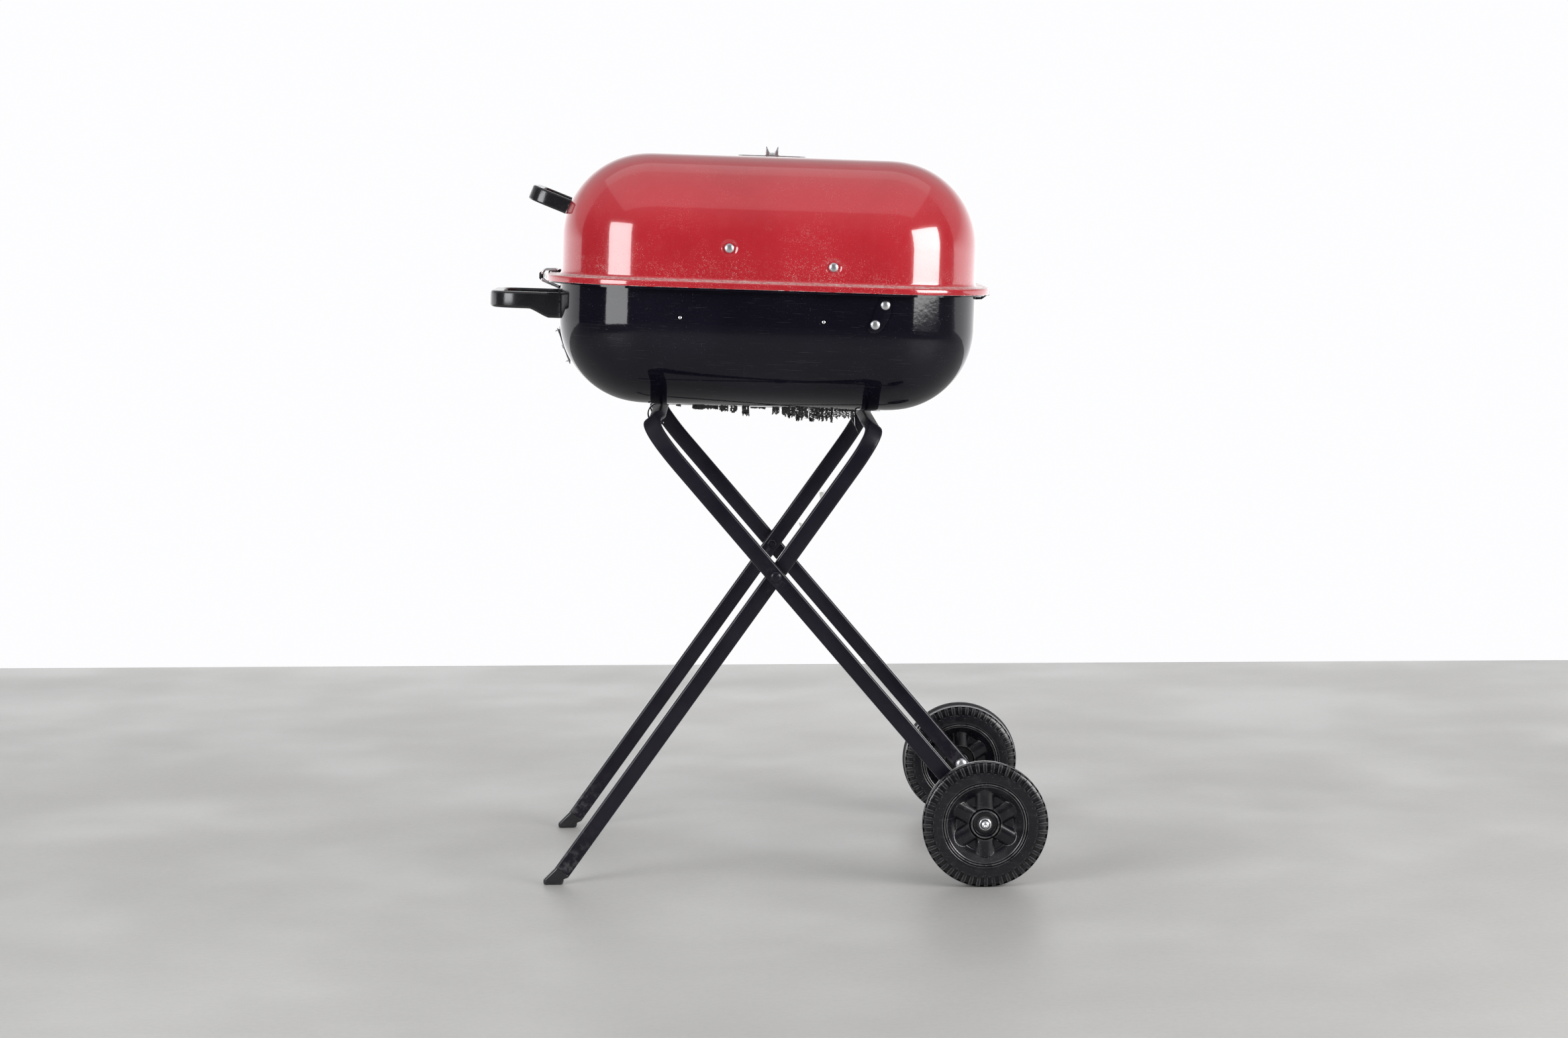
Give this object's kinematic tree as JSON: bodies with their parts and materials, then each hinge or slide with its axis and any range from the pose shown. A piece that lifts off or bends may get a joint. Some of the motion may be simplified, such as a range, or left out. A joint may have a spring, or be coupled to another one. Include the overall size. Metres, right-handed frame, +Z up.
{
  "type": "portable barrel charcoal grill",
  "caption": "Two-shell charcoal grill with hinged hood, dampers, grids and latch, on a folding crossed-leg stand with wheels at the rear and capped feet at the front.",
  "frame": {"origin": "on the ground, under the middle of the overall box", "axes": "+X from the front handles to the rear hinge and wheels, +Y from the near side to the far side, +Z up"},
  "size_m": [0.6736, 0.5184, 0.8942],
  "materials": {
    "red_enamel": "glossy baked enamel",
    "black_enamel": "glossy baked enamel",
    "black_paint": "semi-gloss powder coat",
    "black_plastic": "moulded, semi-gloss",
    "wheel_plastic": "moulded, satin",
    "zinc_steel": "bright zinc plate",
    "plated_steel": "dull plated steel"
  },
  "bodies": {
    "bowl_body": {"bowl": "black_enamel", "bowl_bracket_far": "black_enamel", "bowl_bracket_near": "black_enamel", "bowl_handle": "black_plastic", "bowl_handle_screw_far": "zinc_steel", "bowl_handle_screw_near": "zinc_steel", "bowl_rivet_far_lower": "zinc_steel", "bowl_rivet_far_upper": "zinc_steel", "bowl_rivet_near_lower": "zinc_steel", "bowl_rivet_near_upper": "zinc_steel", "charcoal_grate": "black_paint", "front_damper_rivet": "zinc_steel", "grid_rail_far": "zinc_steel", "grid_rail_near": "zinc_steel", "hinge_lug_far": "black_paint", "hinge_lug_near": "black_paint", "hinge_pin_far": "zinc_steel", "hinge_pin_near": "zinc_steel", "latch_lug": "black_paint", "leg_rail_far": "black_paint", "leg_rail_near": "black_paint"},
    "hood_body": {"hinge_strap_far": "red_enamel", "hinge_strap_near": "red_enamel", "hood": "red_enamel", "hood_bracket_far": "plated_steel", "hood_bracket_near": "plated_steel", "hood_handle": "black_plastic", "hood_handle_screw_far": "zinc_steel", "hood_handle_screw_near": "zinc_steel", "hood_rivet_far_front": "zinc_steel", "hood_rivet_far_rear": "zinc_steel", "hood_rivet_near_front": "zinc_steel", "hood_rivet_near_rear": "zinc_steel", "latch_catch": "black_paint", "top_damper_rivet": "zinc_steel"},
    "top_damper_plate": {"top_damper": "plated_steel"},
    "front_damper_plate": {"front_damper": "plated_steel"},
    "latch": {"latch_wire": "zinc_steel", "latch_grip": "black_plastic"},
    "grid": {"cooking_grid": "plated_steel"},
    "wheel_leg_frame": {"leg_a_frame": "black_paint", "pivot_bolt_far": "black_paint", "pivot_bolt_near": "black_paint", "wheel_bolt_far": "zinc_steel", "wheel_bolt_near": "zinc_steel", "wheel_cap_nut_far": "zinc_steel", "wheel_cap_nut_near": "zinc_steel", "wheel_spacer_far": "black_plastic", "wheel_spacer_near": "black_plastic"},
    "foot_leg_frame": {"foot_cap_far": "black_plastic", "foot_cap_near": "black_plastic", "leg_b_frame": "black_paint", "pivot_nut_far": "black_paint", "pivot_nut_near": "black_paint", "pivot_washer_far": "black_plastic", "pivot_washer_near": "black_plastic"},
    "near_wheel": {"wheel_near": "wheel_plastic"},
    "far_wheel": {"wheel_far": "wheel_plastic"}
  },
  "joints": [
    {"name": "hood_hinge", "type": "hinge", "parent": "bowl_body", "child": "hood_body", "pos_m": [0.27762, 0, 0.71081], "axis": [0, 1, 0], "range_deg": [0, 100]},
    {"name": "latch_swing", "type": "hinge", "parent": "bowl_body", "child": "latch", "pos_m": [-0.24998, 0, 0.72029], "axis": [0, -1, 0], "range_deg": [0, 85]},
    {"name": "top_damper_turn", "type": "hinge", "parent": "hood_body", "child": "top_damper_plate", "pos_m": [0.01604, 0, 0.88111], "axis": [0.0445, 0, 0.999], "range_deg": [0, 45]},
    {"name": "front_damper_turn", "type": "hinge", "parent": "bowl_body", "child": "front_damper_plate", "pos_m": [-0.24363, 0, 0.65045], "axis": [-0.9469, 0, -0.3214], "range_deg": [0, 45]},
    {"name": "cooking_grid_lift", "type": "slide", "parent": "bowl_body", "child": "grid", "axis": [0.0445, 0, 0.999], "range_m": [0, 0.03]},
    {"name": "leg_fold", "type": "hinge", "parent": "bowl_body", "child": "wheel_leg_frame", "pos_m": [-0.12923, 0, 0.56577], "axis": [0, -1, 0], "range_deg": [0, 46], "stiffness_Nm_per_rad": 60, "springref_deg": -42.97},
    {"name": "leg_cross_pivot", "type": "hinge", "parent": "wheel_leg_frame", "child": "foot_leg_frame", "pos_m": [0.0121, 0, 0.3755], "axis": [0, 1, 0], "range_deg": [0, 95.11]},
    {"name": "near_wheel_spin", "type": "hinge", "parent": "wheel_leg_frame", "child": "near_wheel", "pos_m": [0.2606, -0.24045, 0.0762], "axis": [0, 1, 0], "continuous": true},
    {"name": "far_wheel_spin", "type": "hinge", "parent": "wheel_leg_frame", "child": "far_wheel", "pos_m": [0.2606, 0.24045, 0.0762], "axis": [0, 1, 0], "continuous": true}
  ],
  "couplings": [
    {"joint": "leg_cross_pivot", "follows": "leg_fold", "ratio": 2.0676}
  ]
}
